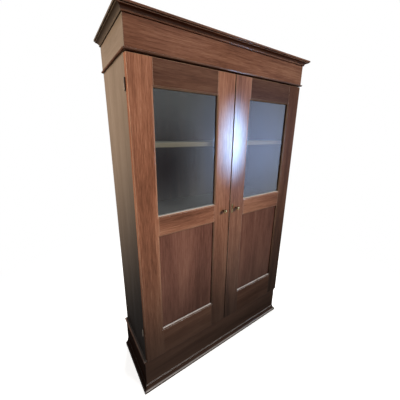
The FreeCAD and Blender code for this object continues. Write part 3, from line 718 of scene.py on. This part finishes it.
# %% Turn the knobs
KNOB_PROFILE = [
    (5.0, 0.0), (4.8, 2.0), (4.7, 5.0), (4.9, 8.5), (6.3, 11.8), (8.8, 14.4), (11.2, 16.6), (12.3, 18.6),
    (12.5, 20.4), (12.0, 22.4), (10.6, 24.5), (8.3, 26.3), (5.3, 27.5), (2.4, 27.95),
]
FRONT = (0, -1, 0)
door_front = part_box("left_meeting_stile")[0].y
for side in ("left", "right"):
    low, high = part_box(side + "_knob")
    seat = Vector(((low.x + high.x) / 2, door_front, (low.z + high.z) / 2))
    form = bmesh.new()
    turn_profile(form, KNOB_PROFILE, aimed(seat, FRONT))
    knob = finished_piece(form, side + "_turned_knob", side + "_door", "aged_brass")
    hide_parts(side + "_knob")
    print(knob.name, "at", [round(value, 3) for value in seat])

# %% [markdown]
# ## Screws and pins
# Steel and brass screws hold the hinges, the lock, the bolts and the shelf battens. A slotted head is a disc
# with a groove across it. Here it is two half discs with a gap between them. The heads stand out by a third
# of a millimetre, so that the doors still close over them.

# %% Make a slotted head
HEAD_STEPS = 12
HEAD_RISE = 0.35 * MM
CROWN_SHARE = 0.93
HALF_SLOT = 0.17
TURN_BETWEEN_SLOTS = 0.9


def slotted_head(form, centre, facing, radius, slot_turn):
    """Two low half discs that leave a slot between them."""
    place = aimed(centre, facing) @ Matrix.Rotation(slot_turn, 4, "Z")
    for flip in (1, -1):
        sweep = math.pi - 2 * HALF_SLOT
        angles = [HALF_SLOT + sweep * step / HEAD_STEPS for step in range(HEAD_STEPS + 1)]
        rim = [Vector((math.cos(angle), math.sin(angle), 0)) * flip * radius for angle in angles]
        foot = [form.verts.new(place @ point) for point in rim]
        crown = [form.verts.new(place @ (point * CROWN_SHARE + Vector((0, 0, HEAD_RISE)))) for point in rim]
        for step in range(len(rim)):
            form.faces.new((foot[step - 1], foot[step], crown[step], crown[step - 1]))
        form.faces.new(crown)
        form.faces.new(list(reversed(foot)))


def screwed(name, body, slot_name, radius, places):
    """Screw heads of one size in one piece, each at a place with the way it faces."""
    form = bmesh.new()
    for number, (centre, facing) in enumerate(places):
        slotted_head(form, Vector(centre), facing, radius, TURN_BETWEEN_SLOTS * number)
    finished_piece(form, name, body, slot_name)
    print(name, len(places), "heads")


print("heads stand out by", HEAD_RISE, "m")

# %% [markdown]
# Hinge leaves are let into the edge of the case and the back of the door, with three screws in each. They
# show when a door is open.

# %% Screw the hinges on
HINGE_LENGTH = 50 * MM
LEAF_MIDDLE = 9 * MM
HINGE_SCREW = 2.6 * MM
ALONG_LEAF = (0.17, 0.5, 0.83)
BACK = (0, 1, 0)
case_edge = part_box("right_side")[1].x
case_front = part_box("right_side")[0].y
door_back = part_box("left_meeting_stile")[1].y
low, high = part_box("carcase_hinges")
hinge_feet = (low.z, high.z - HINGE_LENGTH)
screw_heights = [foot + HINGE_LENGTH * share for foot in hinge_feet for share in ALONG_LEAF]
leaf_x = case_edge - LEAF_MIDDLE
on_case = [((x, case_front, z), FRONT) for x in (-leaf_x, leaf_x) for z in screw_heights]
screwed("case_hinge_screws", "carcase", "dark_steel", HINGE_SCREW, on_case)
for body, x in (("left_door", -leaf_x), ("right_door", leaf_x)):
    on_door = [((x, door_back, z), BACK) for z in screw_heights]
    screwed(body + "_hinge_screws", body, "dark_steel", HINGE_SCREW, on_door)

# %% [markdown]
# The lock and its keep have a screw near each corner. Each bolt plate has four between its guides, and each
# keeper has one at either side of its hole.

# %% Screw the lock on
LOCK_SCREW, LOCK_INSET = 2.3 * MM, 5.5 * MM
KEEP_SCREW, KEEP_INSET = 1.9 * MM, 4.5 * MM


def near_corners(name, inset):
    """Places near the four corners of the back of a fitting."""
    low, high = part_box(name)
    across = (low.x + inset, high.x - inset)
    upward = (low.z + inset, high.z - inset)
    return [((x, high.y, z), BACK) for x in across for z in upward]


screwed("lock_screws", "right_door", "dark_steel", LOCK_SCREW, near_corners("lock_case", LOCK_INSET))
screwed("keep_screws", "left_door", "dark_steel", KEEP_SCREW, near_corners("lock_keep", KEEP_INSET))

# %% Screw the bolts on
BOLT_SCREW, BOLT_INSET = 1.7 * MM, 3 * MM
PLATE_THICKNESS = 2.5 * MM
PLATE_LENGTH = 84 * MM
FROM_PLATE_MIDDLE = 22 * MM
low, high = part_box("bolt_plates")
plate_face = low.y + PLATE_THICKNESS
plate_middles = (low.z + PLATE_LENGTH / 2, high.z - PLATE_LENGTH / 2)
on_plates = [
    ((x, plate_face, middle + shift), BACK)
    for middle in plate_middles for shift in (-FROM_PLATE_MIDDLE, FROM_PLATE_MIDDLE)
    for x in (low.x + BOLT_INSET, high.x - BOLT_INSET)
]
screwed("bolt_plate_screws", "left_door", "aged_brass", BOLT_SCREW, on_plates)

KEEPER_THICKNESS = 1.5 * MM
low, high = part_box("bolt_keepers")
middle_y = (low.y + high.y) / 2
on_keepers = [
    ((x, middle_y, z), (0, 0, way))
    for z, way in ((low.z + KEEPER_THICKNESS, 1), (high.z - KEEPER_THICKNESS, -1))
    for x in (low.x + BOLT_INSET, high.x - BOLT_INSET)
]
screwed("keeper_screws", "carcase", "aged_brass", BOLT_SCREW, on_keepers)

# %% [markdown]
# Three screws hold each shelf batten to the side. Two round pins hold the keyhole plate.

# %% Screw the battens on
BATTEN_HEIGHT = 24 * MM
BATTEN_SCREW = 3.2 * MM
FROM_BATTEN_BACK = (40 * MM, 160 * MM, 280 * MM)
SHELVES = ("lower_shelf", "middle_shelf", "upper_shelf")
batten_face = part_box("right_shelf_bearers")[0].x
batten_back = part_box("right_shelf_bearers")[1].y
on_battens = [
    ((way * batten_face, batten_back - reach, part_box(shelf)[0].z - BATTEN_HEIGHT / 2), (-way, 0, 0))
    for shelf in SHELVES for way in (-1, 1) for reach in FROM_BATTEN_BACK
]
screwed("batten_screws", "carcase", "dark_steel", BATTEN_SCREW, on_battens)

# %% Pin the keyhole plate
PIN_PROFILE = [(1.5, 0.0), (1.35, 0.45), (0.9, 0.8), (0.35, 0.95)]
PIN_INSET = 5 * MM
low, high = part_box("escutcheon")
form = bmesh.new()
for height in (low.z + PIN_INSET, high.z - PIN_INSET):
    turn_profile(form, PIN_PROFILE, aimed(Vector(((low.x + high.x) / 2, low.y, height)), FRONT))
finished_piece(form, "keyhole_plate_pins", "right_door", "aged_brass")
print("pins in the keyhole plate")

# %% [markdown]
# ## Light and floor
# One large soft lamp stands high at the right. Edges that face right catch it, edges that face left stay
# dark, and the knobs throw their shadows to the left. A weaker one lights the left side, and a third one the
# back, for whoever walks round. The two large ones show neither in the varnish nor through the panes.

# %% Hang the lamps
def soft_lamp(name, place, target, side, watts, spread, colour):
    """A square lamp that faces a target."""
    data = bpy.data.lights.new(name, "AREA")
    data.shape = "SQUARE"
    data.size = side
    data.energy = watts
    data.spread = math.radians(spread)
    data.color = linear(colour)[:3]
    lamp = bpy.data.objects.new(name, data)
    lamp.location = place
    lamp.rotation_euler = (Vector(target) - Vector(place)).to_track_quat("-Z", "Y").to_euler()
    bpy.context.scene.collection.objects.link(lamp)
    return lamp


front_lamp = soft_lamp(
    "front_lamp", (2.0, -4.2, 3.5), (-1.0, -0.2, 1.2), side=1.6, watts=32, spread=60, colour="#FFFAF4"
)
back_lamp = soft_lamp(
    "back_lamp", (1.6, 3.6, 3.0), (0, 0.2, 1.1), side=1.6, watts=70, spread=110, colour="#FFFAF4"
)
soft_lamp("side_lamp", (-2.4, 0.5, 2.1), (-0.6, 0, 1.8), side=1.2, watts=15, spread=90, colour="#FFF3E4")
for lamp in (front_lamp, back_lamp):
    lamp.visible_glossy = False
    lamp.visible_transmission = False
print(len(bpy.data.lights), "lamps")

# %% [markdown]
# The surroundings and the floor are white wherever the camera, the varnish, the glass or the brass looks at
# them. For the soft light that bounces about they count as darker, so that the foot of the cupboard stays
# dark. Near the cupboard part of the floor's white is real paint, and that part takes the shadow.

# %% Build the surroundings
def white_to_the_eye(tree):
    """One for rays that look at something: from the camera, off a gloss or through glass."""
    ray = add(tree, "LightPath", {})
    looking = add(
        tree, "Math", {"operation": "MAXIMUM"},
        {0: ray.outputs["Is Camera Ray"], 1: ray.outputs["Is Transmission Ray"]},
    )
    return add(tree, "Math", {"operation": "MAXIMUM"}, {0: looking, 1: ray.outputs["Is Glossy Ray"]})


world = bpy.data.worlds.new("studio")
bpy.context.scene.world = world
world.use_nodes = True
world.node_tree.nodes.clear()
around = add(world.node_tree, "Background", {"Color": linear("#E4E2E0"), "Strength": 0.32})
white = add(world.node_tree, "Background", {"Color": linear("#FFFFFF"), "Strength": 1.0})
sky = add(world.node_tree, "MixShader", {}, {0: white_to_the_eye(world.node_tree), 1: around, 2: white})
add(world.node_tree, "OutputWorld", {}, {"Surface": sky})
print("surroundings", world.name)

# %% Lay the floor
NEAR_FLOOR = 1.0
FAR_FLOOR = 2.4
FLOOR_HALF = 9.0


def flat_sheet(name, centre, right, up, material):
    """A rectangle from its centre and half sides, for the stage."""
    centre, right, up = Vector(centre), Vector(right), Vector(up)
    mesh = bpy.data.meshes.new(name)
    corners = [centre - right - up, centre + right - up, centre + right + up, centre - right + up]
    mesh.from_pydata(corners, [], [(0, 1, 2, 3)])
    mesh.uv_layers.new()
    mesh.materials.append(material)
    sheet = bpy.data.objects.new(name, mesh)
    bpy.context.scene.collection.objects.link(sheet)
    return sheet


floor_material, floor_tree = new_material("white_floor_paint")
paint = add(floor_tree, "BsdfDiffuse", {"Color": linear("#F4F4F4")})
glow = add(floor_tree, "Emission", {"Color": linear("#FFFFFF"), "Strength": 0.72})
lit_paint = add(floor_tree, "AddShader", {}, {0: paint, 1: glow})
far_white = add(floor_tree, "Emission", {"Color": linear("#FFFFFF"), "Strength": 1.0})
floor_place = add(floor_tree, "TexCoord", {})
reach = add(floor_tree, "VectorMath", {"operation": "LENGTH"}, {0: floor_place.outputs["Object"]})
outward = {"interpolation_type": "SMOOTHSTEP", "From Min": NEAR_FLOOR, "From Max": FAR_FLOOR}
far_away = add(floor_tree, "MapRange", outward, {"Value": reach})
seen_floor = add(floor_tree, "MixShader", {}, {0: far_away, 1: lit_paint, 2: far_white})
dim_paint = add(floor_tree, "BsdfDiffuse", {"Color": linear("#6A6058")})
floor_look = add(floor_tree, "MixShader", {}, {0: white_to_the_eye(floor_tree), 1: dim_paint, 2: seen_floor})
add(floor_tree, "OutputMaterial", {}, {"Surface": floor_look})
flat_sheet("floor", (0, 0, 0), (FLOOR_HALF, 0, 0), (0, FLOOR_HALF, 0), floor_material)
print("white floor with the shadow within", FAR_FLOOR, "m")

# %% [markdown]
# ## The sheen on the varnish
# The meeting stiles mirror a cool bright light at the right, and the panes mirror its softer surroundings. A
# real softbox is brightest in its middle and fades to its edge, so these cards do too: clear at the rim and
# glowing in the centre. A third card is grey, and the left pane mirrors it, which keeps that pane dark. The
# cards serve only for reflections.

# %% Hang the soft cards
def soft_card(name, centre, half_width, half_height, peak, colour):
    """A glowing upright card that fades out towards its rim."""
    material, tree = new_material(name + "_light")
    place = add(tree, "TexCoord", {})
    middle = add(tree, "VectorMath", {"operation": "SUBTRACT", 1: (0.5, 0.5, 0.0)}, {0: place.outputs["UV"]})
    reach = add(tree, "VectorMath", {"operation": "LENGTH"}, {0: middle})
    inward = {"interpolation_type": "SMOOTHSTEP", "From Min": 0.5, "From Max": 0.0}
    fade = add(tree, "MapRange", inward, {"Value": reach})
    light = add(tree, "Emission", {"Color": linear(colour), "Strength": peak})
    clear = add(tree, "BsdfTransparent", {})
    look = add(tree, "MixShader", {}, {0: fade, 1: clear, 2: light})
    add(tree, "OutputMaterial", {}, {"Surface": look})
    card = flat_sheet(name, centre, (half_width, 0, 0), (0, 0, half_height), material)
    card.visible_camera = False
    card.visible_diffuse = False
    card.visible_shadow = False
    print(name, "at", centre)


soft_card("bright_card", (2.20, -2.5, 1.40), half_width=0.50, half_height=1.0, peak=110, colour="#A6CDFF")
soft_card("broad_card", (3.00, -2.6, 1.30), half_width=2.2, half_height=1.9, peak=3.2, colour="#C4D4FF")
soft_card("grey_card", (0.75, -2.55, 1.0), half_width=0.95, half_height=1.3, peak=0.3, colour="#F2E4EC")
